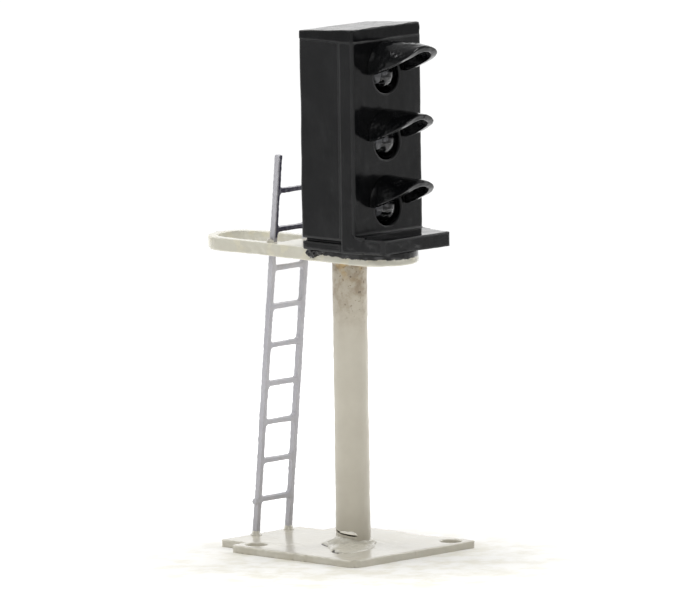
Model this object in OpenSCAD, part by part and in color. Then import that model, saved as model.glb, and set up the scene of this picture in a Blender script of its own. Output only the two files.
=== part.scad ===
// Three-aspect colour-light signal on a tube mast, 4 mm to the foot scale.
// The mast axis at the underside of the base is the origin, +Z is up, and the lamps look along -Y.

/* [Base plate] */
// Width of the base along X
base_w = 16.1; // [14:0.1:18]
// Depth of the base along Y
base_d = 15.7; // [14:0.1:18]
// Thickness of the base sheet
base_t = 0.7; // [0.5:0.05:1.2]
// Chamfer along the top edges of the base
base_chamfer = 0.2; // [0.05:0.05:0.3]
// Left end of the rear tab that carries the ladder
tab_left = -6.1; // [-7:0.1:-3.5]
// Right end of the rear tab
tab_right = 4.2; // [3.2:0.1:7]
// How far the tab reaches behind the square
tab_reach = 3.05; // [2.6:0.05:4]
// Distance of each screw hole from the mast axis, along X and along Y
screw_offset = 6.3; // [5:0.1:6.4]
// Radius of the screw holes
screw_r = 1.0; // [0.6:0.05:1.2]

/* [Mast] */
// Outer radius of the mast tube
mast_r = 1.6; // [1.3:0.05:2]
// Bore radius of the mast tube
mast_bore_r = 1.1; // [0.6:0.05:1.1]
// Gap between the tube and the holes that it passes through
tube_gap = 0.05; // [0.02:0.01:0.1]
// Height of the filed nick in the foot of the tube
nick_z = 1.5; // [1.2:0.1:2.5]

/* [Platform] */
// Height of the platform's top face
deck_z = 28.15; // [24:0.05:34]
// Thickness of the platform
deck_t = 1.2; // [0.6:0.05:1.4]
// Half width of the platform, which is also the radius of both ends
deck_r = 3.4; // [3.3:0.1:4.4]
// Centre of the front arc
deck_front_y = -4.05; // [-5:0.1:-3]
// Centre of the rear arc of the hoop
deck_rear_y = 13.3; // [11.6:0.1:14]
// Width of the hoop's rim
rim_w = 0.9; // [0.6:0.05:0.9]
// Front edge of the ladder opening
hatch_y = 7.05; // [5:0.05:7.1]

/* [Ladder] */
// Distance between the stile centres
ladder_pitch_x = 4.28; // [4:0.02:4.3]
// Width of a stile seen from the front
stile_w = 0.48; // [0.35:0.01:0.5]
// Thickness of the ladder strip
ladder_t = 0.56; // [0.4:0.02:0.6]
// Height of a rung seen from the front
rung_h = 0.44; // [0.3:0.02:0.6]
// Number of rungs
rung_count = 9; // [7:1:9]
// Spacing of the rungs along the ladder
rung_pitch = 3.62; // [3.5:0.01:3.65]
// Distance from the foot to the lowest rung
first_rung = 3.35; // [2.5:0.05:3.6]
// Distance from the highest rung to the stile tops
stile_top = 3.35; // [2:0.05:3.6]
// Fillet radius where rungs meet stiles
rung_fillet = 0.28; // [0.1:0.02:0.4]
// Forward lean of the ladder in degrees
ladder_lean = 5.77; // [5.4:0.01:6]
// Distance of the ladder foot behind the mast axis
foot_y = 10.32; // [10.2:0.02:10.4]

/* [Head] */
// Width of the lamp box
head_w = 9.0; // [8.6:0.02:9.6]
// Front face of the lamp box in front of the mast axis
face_reach = 5.0; // [4.8:0.05:5.4]
// Rear face of the lamp box behind the mast axis
rear_reach = 1.65; // [1.6:0.05:2.2]
// Thickness of the front cover
cover_t = 1.7; // [1.4:0.05:2]
// Depth of the inner step of the cover that plugs into the casing
plug_t = 1.6; // [1.2:0.05:1.7]
// Wall of the rear casing
wall = 0.7; // [0.5:0.05:0.7]
// Height of the box above the platform, without the roof cap
box_h = 19.45; // [19:0.05:20]
// Thickness of the roof cap at the front
roof_front_t = 1.1; // [0.8:0.05:1.4]
// Thickness of the roof cap at the rear, where rain would run off
roof_rear_t = 0.65; // [0.5:0.05:0.8]
// Overhang of the roof cap at the rear and the sides
roof_lip = 0.08; // [0.04:0.02:0.2]
// Thickness of the floor plate's lower step
floor_t = 0.8; // [0.6:0.05:0.9]
// Thickness of the floor plate's upper step
floor_step = 0.3; // [0.2:0.05:0.4]
// Inset of the floor plate's upper step
floor_inset = 0.25; // [0.1:0.05:0.4]
// Corner radius of the lamp box in plan
corner_r = 0.2; // [0.1:0.05:0.6]
// How far the ledge stands out in front of the face
ledge_reach = 3.55; // [2.5:0.05:3.6]
// Thickness of the ledge where it meets the face
ledge_t = 1.65; // [1.35:0.05:1.7]
// Height of the ledge's front edge above the platform, at its top
ledge_nose_t = 1.5; // [1:0.05:1.6]
// Height of the ledge's front edge above the platform, underneath
ledge_nose_low = 0.2; // [0:0.05:0.3]

/* [Lamps] */
// Spacing of the lamps
lamp_pitch = 6.07; // [6:0.01:6.1]
// Centre of the top lamp below the top of the box
lamp_drop = 3.44; // [3.2:0.01:3.6]
// Radius of the lamp holes in the cover
lamp_hole_r = 1.65; // [1.6:0.01:1.7]
// Radius of the clear lamp body
led_r = 1.5; // [1.4:0.01:1.52]
// Radius of the lamp's rear flange
flange_r = 1.9; // [1.8:0.02:2]
// Thickness of the lamp's rear flange
flange_t = 1.0; // [0.6:0.05:1]
// How far the lamp's tip stands out of the face
led_proud = 0.25; // [-0.5:0.05:0.4]
// Side of the square lamp leads
lead_w = 0.45; // [0.3:0.05:0.5]
// Spacing of the two leads
lead_spacing = 2.54; // [1.27:0.01:2.6]
// Length of the leads below the lamp centre
lead_drop = 3.2; // [2.4:0.1:3.4]

/* [Hoods] */
// Length of the top hood
hood_upper_len = 4.95; // [4:0.05:6]
// Length of the middle hood
hood_middle_len = 4.5; // [4:0.05:6]
// Length of the bottom hood
hood_lower_len = 4.65; // [4:0.05:6]
// Outer radius of the hood's arch
hood_r = 2.5; // [2.3:0.05:2.7]
// Wall of the hood
hood_wall = 0.45; // [0.3:0.05:0.5]
// Height of the arch's centre above the lamp's centre on the lower two hoods
hood_rise = 0.45; // [0.2:0.05:0.8]
// Height of the arch's centre above the lamp's centre on the top hood
hood_upper_rise = 0.65; // [0.2:0.05:0.8]
// Height of the hood's lower ends above the lamp's centre
hood_low = 0.25; // [-0.2:0.05:0.4]
// Length of the straight stretch at the hood's root
hood_root = 0.45; // [0.2:0.05:0.8]

/* [Hidden] */
$fn = 64;

grey = [0.72, 0.70, 0.66];
ladder_grey = [0.68, 0.68, 0.72];
black = [0.06, 0.065, 0.07];
solder = [0.66, 0.65, 0.62];
bright = [0.80, 0.80, 0.78];
clear = [0.75, 0.78, 0.76, 0.6];

half_w = base_w / 2;
half_d = base_d / 2;
tab_y = half_d + tab_reach;
far = 40;

deck_under = deck_z - deck_t;
box_top = deck_z + box_h;
box_bottom = deck_z + floor_t + floor_step;
face_y = -face_reach;
seam_y = face_y + cover_t;
plug_y = seam_y + plug_t;
inner_rear_y = rear_reach - wall;
plug_gap = 0.05;
plug_clear = 0.2;
wire_hole_r = 0.85;

lamp_z = [for (i = [0:2]) box_top - lamp_drop - i * lamp_pitch];

flange_rear_y = plug_y + flange_t;
lead_run = 0.45;
lead_front_y = flange_rear_y + lead_run;
bus_r = 0.2;

ladder_len = first_rung + (rung_count - 1) * rung_pitch + stile_top;
stile_half = ladder_pitch_x / 2 + stile_w / 2;
window_half = ladder_pitch_x / 2 - stile_w / 2;
ladder_deck_y = foot_y - (deck_z - base_t) * tan(ladder_lean);

// A rectangle from its corners, with all four corners rounded.
module rounded_rect(x0, y0, x1, y1, r) {
    translate([x0 + r, y0]) square([x1 - x0 - 2 * r, y1 - y0]);
    translate([x0, y0 + r]) square([x1 - x0, y1 - y0 - 2 * r]);
    for (x = [x0 + r, x1 - r]) {
        for (y = [y0 + r, y1 - r]) {
            translate([x, y]) circle(r = r);
        }
    }
}

// A bar of triangular section along X that cuts the top rear or front edge of the base.
module edge_cut_x(y, x0, x1) {
    side = base_chamfer * sqrt(2);
    translate([x0, y, base_t]) rotate([45, 0, 0]) translate([0, -side / 2, -side / 2]) cube([x1 - x0, side, side]);
}

// The same along Y.
module edge_cut_y(x, y0, y1) {
    side = base_chamfer * sqrt(2);
    translate([x, y0, base_t]) rotate([0, 45, 0]) translate([-side / 2, 0, -side / 2]) cube([side, y1 - y0, side]);
}

module base_plate() {
    color(grey) difference() {
        union() {
            translate([-half_w, -half_d, 0]) cube([base_w, base_d, base_t]);
            translate([tab_left, 0, 0]) cube([tab_right - tab_left, tab_y, base_t]);
        }
        edge_cut_x(-half_d, -half_w - 1, half_w + 1);
        edge_cut_x(tab_y, tab_left - 1, tab_right + 1);
        edge_cut_x(half_d, -half_w - 1, tab_left);
        edge_cut_x(half_d, tab_right, half_w + 1);
        edge_cut_y(-half_w, -half_d - 1, half_d + 1);
        edge_cut_y(half_w, -half_d - 1, half_d + 1);
        edge_cut_y(tab_left, half_d, tab_y + 1);
        edge_cut_y(tab_right, half_d, tab_y + 1);
        translate([0, 0, -1]) cylinder(r = mast_r + tube_gap, h = base_t + 2);
        for (s = [-1, 1]) {
            translate([s * screw_offset, -s * screw_offset, -1]) cylinder(r = screw_r, h = base_t + 2);
        }
    }
}

// The tube runs from the underside of the base to the top of the platform.
module mast_tube() {
    nick_depth = 0.32;
    nick_h = 0.3;
    nick_w = 2.3;
    color(grey) difference() {
        cylinder(r = mast_r, h = deck_z);
        translate([0, 0, -1]) cylinder(r = mast_bore_r, h = deck_z + 2);
        rotate([0, 0, 15]) translate([-mast_r - 1, -nick_w / 2, nick_z]) cube([1 + nick_depth, nick_w, nick_h]);
    }
}

// A ring with a hollow quarter-round section that fills the corner between a tube and a plate.
module corner_ring(r, size) {
    rotate_extrude() difference() {
        translate([r, 0]) square(size);
        translate([r + size, size]) circle(r = size);
    }
}

// The ring round the foot and the low puddle that ran out to the left and the front.
module mast_foot_solder() {
    puddle_h = 0.6;
    puddle_r = 3.0;
    dome_r = (puddle_r * puddle_r + puddle_h * puddle_h) / (2 * puddle_h);
    color(solder) difference() {
        union() {
            translate([0, 0, base_t]) corner_ring(mast_r, 0.45);
            intersection() {
                translate([-2.0, -1.2, base_t + puddle_h - dome_r]) sphere(r = dome_r, $fn = 96);
                translate([-far, -far, base_t]) cube([2 * far, 2 * far, far]);
            }
        }
        translate([0, 0, -1]) cylinder(r = mast_r, h = far);
    }
}

module mast_top_solder() {
    color(solder) translate([0, 0, deck_under]) mirror([0, 0, 1]) corner_ring(mast_r, 0.5);
}

module platform() {
    inner_r = deck_r - rim_w;
    hatch_corner = 0.6;
    color(grey) translate([0, 0, deck_under]) difference() {
        linear_extrude(height = deck_t) difference() {
            union() {
                translate([0, deck_front_y]) circle(r = deck_r, $fn = 96);
                translate([0, deck_rear_y]) circle(r = deck_r, $fn = 96);
                translate([-deck_r, deck_front_y]) square([2 * deck_r, deck_rear_y - deck_front_y]);
            }
            translate([0, deck_rear_y]) circle(r = inner_r, $fn = 96);
            rounded_rect(-inner_r, hatch_y, inner_r, deck_rear_y, hatch_corner);
            translate([-inner_r, deck_rear_y - 1]) square([2 * inner_r, 1]);
        }
        translate([0, 0, -1]) cylinder(r = mast_r + tube_gap, h = deck_t + 2);
    }
}

// The strip lies in its own plane: x across, y up the ladder. Its foot is cut level with the base.
module ladder_outline() {
    difference() {
        union() {
            translate([-stile_half, -1]) square([2 * stile_half, ladder_len + 1 - stile_w / 2]);
            for (s = [-1, 1]) {
                translate([s * ladder_pitch_x / 2, ladder_len - stile_w / 2]) circle(r = stile_w / 2, $fn = 24);
            }
        }
        for (i = [0:rung_count - 2]) {
            low = first_rung + i * rung_pitch + rung_h / 2;
            rounded_rect(-window_half, low, window_half, low + rung_pitch - rung_h, rung_fillet, $fn = 24);
        }
        ladder_end_gap(-2, first_rung - rung_h / 2);
        mirror([0, 1]) ladder_end_gap(-ladder_len - 1, -(ladder_len - stile_top) - rung_h / 2);
    }
}

// The open end below the lowest rung, from y0 up to y1 with two rounded inner corners.
module ladder_end_gap(y0, y1) {
    translate([-window_half, y0]) square([2 * window_half, y1 - y0 - rung_fillet]);
    translate([-window_half + rung_fillet, y0]) square([2 * (window_half - rung_fillet), y1 - y0]);
    for (s = [-1, 1]) {
        translate([s * (window_half - rung_fillet), y1 - rung_fillet]) circle(r = rung_fillet, $fn = 24);
    }
}

module leaned() {
    translate([0, foot_y, base_t]) rotate([90 + ladder_lean, 0, 0]) translate([0, 0, -ladder_t / 2]) children();
}

module ladder() {
    gate_z = first_rung - 0.15;
    gate_l = 0.28;
    color(ladder_grey) intersection() {
        union() {
            leaned() linear_extrude(height = ladder_t) ladder_outline();
            leaned() translate([-stile_half - gate_l, gate_z, ladder_t / 2]) rotate([0, 90, 0]) {
                cylinder(r = 0.22, h = gate_l + stile_w / 2, $fn = 24);
            }
        }
        translate([-far / 2, 0, base_t]) cube([far, far, far]);
    }
}

// A small cone of solder round each foot, with the stile taken out of it.
module ladder_foot_solder() {
    color(solder) for (s = [-1, 1]) {
        difference() {
            translate([s * ladder_pitch_x / 2, foot_y, base_t]) cylinder(r1 = 0.55, r2 = 0.34, h = 0.4, $fn = 32);
            leaned() translate([s * ladder_pitch_x / 2 - stile_w / 2, -1, 0]) cube([stile_w, 3, ladder_t]);
        }
    }
}

// Half domes on the rim, against the outer side of each stile.
module ladder_deck_solder() {
    bead_r = 0.36;
    color(solder) for (s = [-1, 1]) {
        intersection() {
            translate([s * (stile_half + 0.1), ladder_deck_y, deck_z]) sphere(r = bead_r, $fn = 32);
            translate([s > 0 ? stile_half : -stile_half - 1, 0, deck_z]) cube([1, far, 1]);
        }
    }
}

module head_floor() {
    inset = head_w / 2 - floor_inset;
    color(black) difference() {
        union() {
            translate([0, 0, deck_z]) linear_extrude(height = floor_t) casing_plan(head_w / 2, rear_reach);
            translate([0, 0, deck_z + floor_t]) linear_extrude(height = floor_step) {
                casing_plan(inset, rear_reach - floor_inset);
            }
        }
        translate([0, 0, deck_z - 1]) cylinder(r = wire_hole_r, h = floor_t + floor_step + 2);
    }
}

// Plan of everything behind the seam: square at the front, rounded at the rear.
module casing_plan(side, rear_y) {
    translate([-side, seam_y]) square([2 * side, rear_y - seam_y - corner_r]);
    translate([-side + corner_r, seam_y]) square([2 * (side - corner_r), rear_y - seam_y]);
    for (s = [-1, 1]) {
        translate([s * (side - corner_r), rear_y - corner_r]) circle(r = corner_r, $fn = 32);
    }
}

module rear_casing() {
    inner = head_w / 2 - wall;
    color(black) translate([0, 0, box_bottom]) linear_extrude(height = box_top - box_bottom) difference() {
        casing_plan(head_w / 2, rear_reach);
        translate([-inner, seam_y - 1]) square([2 * inner, inner_rear_y - seam_y + 1]);
    }
}

// Plan of the cover: rounded at the front, square at the seam.
module cover_plan() {
    side = head_w / 2;
    translate([-side, face_y + corner_r]) square([head_w, cover_t - corner_r]);
    translate([-side + corner_r, face_y]) square([head_w - 2 * corner_r, cover_t]);
    for (s = [-1, 1]) {
        translate([s * (side - corner_r), face_y + corner_r]) circle(r = corner_r, $fn = 32);
    }
}

// One casting: the cover plate, the inner step that fills the casing's mouth, and the ledge.
module front_cover() {
    plug_half = head_w / 2 - wall - plug_gap;
    plug_low = box_bottom + plug_clear;
    ledge_y = face_y - ledge_reach;
    color(black) difference() {
        union() {
            translate([0, 0, deck_z]) linear_extrude(height = box_top - deck_z) cover_plan();
            translate([-plug_half, seam_y, plug_low]) {
                cube([2 * plug_half, plug_t, box_top - plug_clear - plug_low]);
            }
            translate([-head_w / 2, 0, deck_z]) rotate([90, 0, 90]) linear_extrude(height = head_w) polygon([
                [ledge_y, ledge_nose_low], [face_y, 0], [face_y + corner_r, 0], [face_y + corner_r, ledge_t],
                [face_y, ledge_t], [ledge_y, ledge_nose_t]
            ]);
        }
        for (z = lamp_z) {
            translate([0, face_y - 1, z]) rotate([-90, 0, 0]) cylinder(r = lamp_hole_r, h = cover_t + plug_t + 2);
        }
    }
}

// A cap whose top falls from the front to the rear.
module roof_cap() {
    side = head_w / 2 + roof_lip;
    rear = rear_reach + roof_lip;
    color(black) translate([0, 0, box_top]) intersection() {
        linear_extrude(height = roof_front_t) rounded_rect(-side, face_y, side, rear, corner_r, $fn = 32);
        translate([-side - 1, 0, 0]) rotate([90, 0, 90]) linear_extrude(height = 2 * side + 2) polygon([
            [face_y - 0.1, -0.1], [rear + 0.1, -0.1], [rear + 0.1, roof_rear_t], [face_y - 0.1, roof_front_t]
        ]);
    }
}

module arch(r, rise) {
    translate([0, rise]) circle(r = r);
    translate([-r, -1]) square([2 * r, 1 + rise]);
}

// A half-round shade on the face, cut away underneath from its root to its peak.
module hood(len, rise, z) {
    brow = rise + hood_r;
    peak = brow - hood_wall;
    color(black) translate([0, face_y, z]) intersection() {
        rotate([90, 0, 0]) linear_extrude(height = len) difference() {
            arch(hood_r, rise);
            translate([0, -1]) arch_opening(hood_r - hood_wall, rise);
        }
        translate([-hood_r - 1, 0, 0]) rotate([90, 0, 90]) linear_extrude(height = 2 * hood_r + 2) polygon([
            [0, hood_low], [-hood_root, hood_low], [-len + 0.15, peak - 0.12], [-len, peak],
            [-len, brow + 1], [0, brow + 1]
        ]);
    }
}

// The inside of the hood, deeper than the arch so that it opens below.
module arch_opening(r, rise) {
    translate([0, rise + 1]) circle(r = r);
    translate([-r, -1]) square([2 * r, 2 + rise]);
}

module hood_upper() { hood(hood_upper_len, hood_upper_rise, lamp_z[0]); }
module hood_middle() { hood(hood_middle_len, hood_rise, lamp_z[1]); }
module hood_lower() { hood(hood_lower_len, hood_rise, lamp_z[2]); }

// A clear lamp turned from one outline: domed tip in front, flange behind the cover.
module led(z) {
    tip_y = face_y - led_proud;
    body = plug_y - tip_y - led_r;
    color(clear) translate([0, flange_rear_y, z]) rotate([90, 0, 0]) {
        cylinder(r = flange_r, h = flange_t);
        cylinder(r = led_r, h = flange_t + body);
        intersection() {
            translate([0, 0, flange_t + body]) sphere(r = led_r);
            translate([0, 0, flange_t + body]) cylinder(r = 2 * led_r, h = 2 * led_r);
        }
    }
}

module led_upper() { led(lamp_z[0]); }
module led_middle() { led(lamp_z[1]); }
module led_lower() { led(lamp_z[2]); }

// Two square leads that come straight back and bend down.
module led_leads(z) {
    color(bright) for (s = [-1, 1]) {
        translate([s * lead_spacing / 2 - lead_w / 2, flange_rear_y, z]) rotate([90, 0, 90]) {
            linear_extrude(height = lead_w) polygon([
                [0, -lead_w / 2], [lead_run, -lead_w / 2], [lead_run, -lead_drop],
                [lead_run + lead_w, -lead_drop], [lead_run + lead_w, lead_w / 2], [0, lead_w / 2]
            ]);
        }
    }
}

module led_leads_upper() { led_leads(lamp_z[0]); }
module led_leads_middle() { led_leads(lamp_z[1]); }
module led_leads_lower() { led_leads(lamp_z[2]); }

// The return wire that joins one lead of each lamp.
module common_wire() {
    low = lamp_z[2] - lead_drop + 0.2;
    color(bright) translate([lead_spacing / 2, lead_front_y + lead_w + bus_r, low]) {
        cylinder(r = bus_r, h = lamp_z[0] + 0.4 - low, $fn = 24);
    }
}

// Lumps in the corner under the box, against the side of the platform.
module head_glue_bead() {
    color(black) intersection() {
        union() {
            for (p = [[1.2, 0.45], [0.65, 0.38], [0.1, 0.28]]) {
                translate([-deck_r - 0.05, p[0], deck_z - 0.15]) sphere(r = p[1], $fn = 32);
            }
        }
        translate([-deck_r - 1, -far / 2, deck_z - 1]) cube([1, far, 1]);
    }
}

base_plate();
mast_tube();
mast_foot_solder();
mast_top_solder();
platform();
ladder();
ladder_foot_solder();
ladder_deck_solder();
head_floor();
front_cover();
rear_casing();
roof_cap();
hood_upper();
hood_middle();
hood_lower();
led_upper();
led_middle();
led_lower();
led_leads_upper();
led_leads_middle();
led_leads_lower();
common_wire();
head_glue_bead();
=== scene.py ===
"""Looks for a hand-built model colour-light signal: paint coats, solder, lamps, studio."""

from __future__ import annotations

import logging
import math
from dataclasses import dataclass
from enum import Enum
from typing import Any, Callable, Sequence, Union

import bmesh
import bpy
import numpy as np
from mathutils import Matrix, Quaternion, Vector


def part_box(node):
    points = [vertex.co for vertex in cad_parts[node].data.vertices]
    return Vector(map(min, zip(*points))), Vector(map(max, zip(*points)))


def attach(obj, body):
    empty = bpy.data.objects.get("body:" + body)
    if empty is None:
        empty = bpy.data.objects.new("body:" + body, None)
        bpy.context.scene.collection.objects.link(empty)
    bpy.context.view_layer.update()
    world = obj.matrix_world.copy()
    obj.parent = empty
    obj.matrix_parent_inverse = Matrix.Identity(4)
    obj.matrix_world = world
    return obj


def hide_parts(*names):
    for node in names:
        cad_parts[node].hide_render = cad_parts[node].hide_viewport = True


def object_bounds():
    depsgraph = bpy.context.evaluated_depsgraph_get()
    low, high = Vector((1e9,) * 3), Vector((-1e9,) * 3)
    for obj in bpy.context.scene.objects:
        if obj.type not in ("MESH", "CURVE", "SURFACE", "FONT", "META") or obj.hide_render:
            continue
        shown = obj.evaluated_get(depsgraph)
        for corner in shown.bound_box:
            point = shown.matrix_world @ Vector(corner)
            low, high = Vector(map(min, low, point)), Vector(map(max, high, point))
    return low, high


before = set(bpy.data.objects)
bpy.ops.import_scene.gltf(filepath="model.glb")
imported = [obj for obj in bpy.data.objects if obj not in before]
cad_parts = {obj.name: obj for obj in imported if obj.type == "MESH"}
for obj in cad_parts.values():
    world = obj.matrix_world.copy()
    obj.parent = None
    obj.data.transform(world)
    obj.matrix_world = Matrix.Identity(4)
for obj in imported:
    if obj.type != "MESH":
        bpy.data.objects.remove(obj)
CAD_LOW, CAD_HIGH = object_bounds()

LOG = logging.getLogger("signal")
MM = 0.001
MERGE_MM = 0.002  # points closer than this are one
AXIS_R = 0.001  # radius of the ring that closes a turned shape on its axis
SINK = 0.03  # how far solder goes into what it sits on
BELOW = 0.05  # how far solder goes into the plate
LUMP_SEED = 50  # added to a coat's seed for its second field
QUARTER = math.pi / 2
ROOT = "root"

Array = np.ndarray
Level = Union[float, "Wire"]


class Lamp(Enum):
    """The three lamps, from the top down."""

    UPPER = "upper"
    MIDDLE = "middle"
    LOWER = "lower"


# ---------------------------------------------------------------- node graphs


class Wire:
    """An output socket that can be used in arithmetic; each operation adds a Math node."""

    def __init__(self, graph: "Graph", socket: bpy.types.NodeSocket) -> None:
        """Wraps a socket of a graph."""
        self.graph = graph
        self.socket = socket

    def _math(self, operation: str, *terms: Level) -> "Wire":
        """Adds one Math node and returns its result."""
        return self.graph.node("ShaderNodeMath", {"operation": operation}, dict(enumerate(terms)))

    def __add__(self, other: Level) -> "Wire":
        """self + other."""
        return self._math("ADD", self, other)

    def __radd__(self, other: Level) -> "Wire":
        """other + self."""
        return self._math("ADD", other, self)

    def __sub__(self, other: Level) -> "Wire":
        """self - other."""
        return self._math("SUBTRACT", self, other)

    def __rsub__(self, other: Level) -> "Wire":
        """other - self."""
        return self._math("SUBTRACT", other, self)

    def __mul__(self, other: Level) -> "Wire":
        """self * other."""
        return self._math("MULTIPLY", self, other)

    def __rmul__(self, other: Level) -> "Wire":
        """other * self."""
        return self._math("MULTIPLY", other, self)

    def __truediv__(self, other: Level) -> "Wire":
        """self / other."""
        return self._math("DIVIDE", self, other)

    def __rtruediv__(self, other: Level) -> "Wire":
        """other / self."""
        return self._math("DIVIDE", other, self)

    def magnitude(self) -> "Wire":
        """The value without its sign."""
        return self._math("ABSOLUTE", self)

    def at_least(self, other: Level) -> "Wire":
        """The larger of the two values."""
        return self._math("MAXIMUM", self, other)

    def at_most(self, other: Level) -> "Wire":
        """The smaller of the two values."""
        return self._math("MINIMUM", self, other)

    def ramp(self, low: Level, high: Level) -> "Wire":
        """A smooth step from 0 at low to 1 at high; low may be the larger one.

        Args:
            low: the value that gives 0.
            high: the value that gives 1.

        Returns:
            The step, from 0 to 1.
        """
        settings = {"interpolation_type": "SMOOTHSTEP", "clamp": True}
        sockets = {"Value": self, "From Min": low, "From Max": high}
        return self.graph.node("ShaderNodeMapRange", settings, sockets)


class Graph:
    """A node tree under construction, for a material, a world or a geometry modifier."""

    def __init__(self, tree: bpy.types.NodeTree) -> None:
        """Starts on a tree, which keeps the nodes that it has."""
        self.tree = tree

    def node(
        self,
        kind: str,
        settings: dict[str, Any] | None = None,
        sockets: dict[Any, Any] | None = None,
        out: int | str = 0,
    ) -> Wire:
        """Adds a node.

        Args:
            kind: the node's type.
            settings: properties that are set first, such as a Math node's operation.
            sockets: values or wires for its inputs, by name or by number.
            out: the output that is wanted, by name or by number.

        Returns:
            That output.
        """
        made = self.tree.nodes.new(kind)
        for name, value in (settings or {}).items():
            setattr(made, name, value)
        self.feed(made, sockets or {})
        return Wire(self, made.outputs[out] if len(made.outputs) else None)

    def feed(self, node: bpy.types.Node, sockets: dict[Any, Any]) -> None:
        """Sets or links a node's inputs.

        Args:
            node: the node.
            sockets: values or wires for its inputs, by name or by number.
        """
        for key, value in sockets.items():
            if isinstance(value, Wire):
                self.tree.links.new(value.socket, node.inputs[key])
            else:
                node.inputs[key].default_value = value

    def mix(self, share: Level, a: Any, b: Any) -> Wire:
        """Mixes two colours.

        Args:
            share: how much of b, from 0 to 1.
            a: a colour of four numbers, or a wire.
            b: the same.

        Returns:
            The mixed colour.
        """
        return self.node("ShaderNodeMix", {"data_type": "RGBA"}, {0: share, 6: a, 7: b}, 2)

    def place(self) -> Wire:
        """Object coordinates."""
        return self.node("ShaderNodeTexCoord", out="Object")

    def split(self, vector: Wire) -> tuple[Wire, Wire, Wire]:
        """The three parts of a vector."""
        first = self.node("ShaderNodeSeparateXYZ", None, {0: vector}, 0)
        parts = first.socket.node.outputs
        return first, Wire(self, parts[1]), Wire(self, parts[2])

    def stretch(self, vector: Wire, x: float, y: float, z: float) -> Wire:
        """The coordinates scaled along each axis."""
        return self.node("ShaderNodeMapping", None, {"Vector": vector, "Scale": (x, y, z)})

    def cloud(
        self, vector: Wire, feature_mm: float, detail: float = 3.0, rough: float = 0.55
    ) -> Wire:
        """Noise from 0 to 1.

        Args:
            vector: the coordinates, in metres.
            feature_mm: the size of its features in millimetres.
            detail: how many finer layers are added.
            rough: how strong those layers are.

        Returns:
            The noise.
        """
        values = {"Vector": vector, "Detail": detail, "Roughness": rough}
        values["Scale"] = 1 / (feature_mm * MM)
        return self.node("ShaderNodeTexNoise", None, values, 0)

    def specks(self, vector: Wire, cell_mm: float, radius: float, share: float) -> Wire:
        """Round specks scattered at random.

        Args:
            vector: the coordinates, in metres.
            cell_mm: the size of the cell that may hold one speck.
            radius: the radius of a speck, as a share of the cell.
            share: how many of the cells hold one.

        Returns:
            1 in a speck and 0 outside.
        """
        values = {"Vector": vector, "Scale": 1 / (cell_mm * MM)}
        distance = self.node("ShaderNodeTexVoronoi", None, values, "Distance")
        colour = Wire(self, distance.socket.node.outputs["Color"])
        chance, size, _ = self.split(colour)
        reach = radius * (0.4 + 0.6 * size)
        return distance.ramp(reach, reach * 0.55) * chance.ramp(share, share * 0.98)

    def length(self, vector: Wire) -> Wire:
        """The length of a vector."""
        return self.node("ShaderNodeVectorMath", {"operation": "LENGTH"}, {0: vector}, "Value")

    def along(self, vector: Wire, way: Sequence[float]) -> Wire:
        """How far a vector points along a given way."""
        sockets = {0: vector, 1: tuple(way)}
        return self.node("ShaderNodeVectorMath", {"operation": "DOT_PRODUCT"}, sockets, "Value")

    def attribute(self, name: str) -> Wire:
        """A number stored on the piece's points."""
        return self.node("ShaderNodeAttribute", {"attribute_name": name}, None, "Fac")


def tint(red: float, green: float, blue: float) -> tuple[float, float, float, float]:
    """A colour with full opacity."""
    return (red, green, blue, 1.0)


# ------------------------------------------------------------------- finishes

BLACK_THICK = tint(0.0022, 0.0024, 0.0028)
BLACK_THIN = tint(0.0060, 0.0062, 0.0066)
BLACK_WORN = tint(0.04, 0.038, 0.036)
BLACK_RUN = tint(0.010, 0.010, 0.010)
LADDER_DARK = tint(0.018, 0.015, 0.042)
BROWN_FILM = tint(0.055, 0.045, 0.032)
CHIPPED = tint(0.72, 0.70, 0.66)
DUST = tint(0.30, 0.29, 0.27)
CREAM = tint(0.66, 0.62, 0.47)
SPECK = tint(0.05, 0.035, 0.022)
RECESS_SHADE = tint(0.020, 0.015, 0.010)
FLUX_AND_SHADE = tint(0.235, 0.175, 0.11)
FLUX_GRAIN = tint(0.085, 0.052, 0.022)
RUST = tint(0.50, 0.32, 0.09)
FOOT_DARK = tint(0.30, 0.27, 0.21)
PALE_SOLDER = tint(0.74, 0.72, 0.66)
PAPER_WHITE = tint(0.93, 0.93, 0.925)
PAPER_STAIN_AND_SHADOW = tint(0.72, 0.695, 0.60)
UNLIT = tint(0.0, 0.0, 0.0)
WHITE = tint(1.0, 1.0, 1.0)


@dataclass(frozen=True)
class Finish:
    """What every finish has: a name, the record's slot and one shader."""

    name: str
    slot: str

    def paint(self, graph: Graph, shader: bpy.types.ShaderNodeBsdfPrincipled) -> None:
        """Fills in the shader; each finish has its own."""
        raise NotImplementedError

    def material(self) -> bpy.types.Material:
        """Makes the material, or gives the one made before.

        Returns:
            The material.
        """
        found = bpy.data.materials.get(self.name)
        if found:
            return found
        made = bpy.data.materials.new(self.name)
        made.use_nodes = True
        made.node_tree.nodes.clear()
        graph = Graph(made.node_tree)
        bsdf = graph.node("ShaderNodeBsdfPrincipled")
        graph.node("ShaderNodeOutputMaterial", None, {"Surface": bsdf})
        self.paint(graph, bsdf.socket.node)
        return made


def relief(graph: Graph, height: Wire, depth_mm: float, strength: float = 1.0) -> Wire:
    """Bump from a height of 0 to 1 that stands for depth_mm."""
    values = {"Height": height, "Distance": depth_mm * MM, "Strength": strength}
    return graph.node("ShaderNodeBump", None, values, "Normal")


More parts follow.
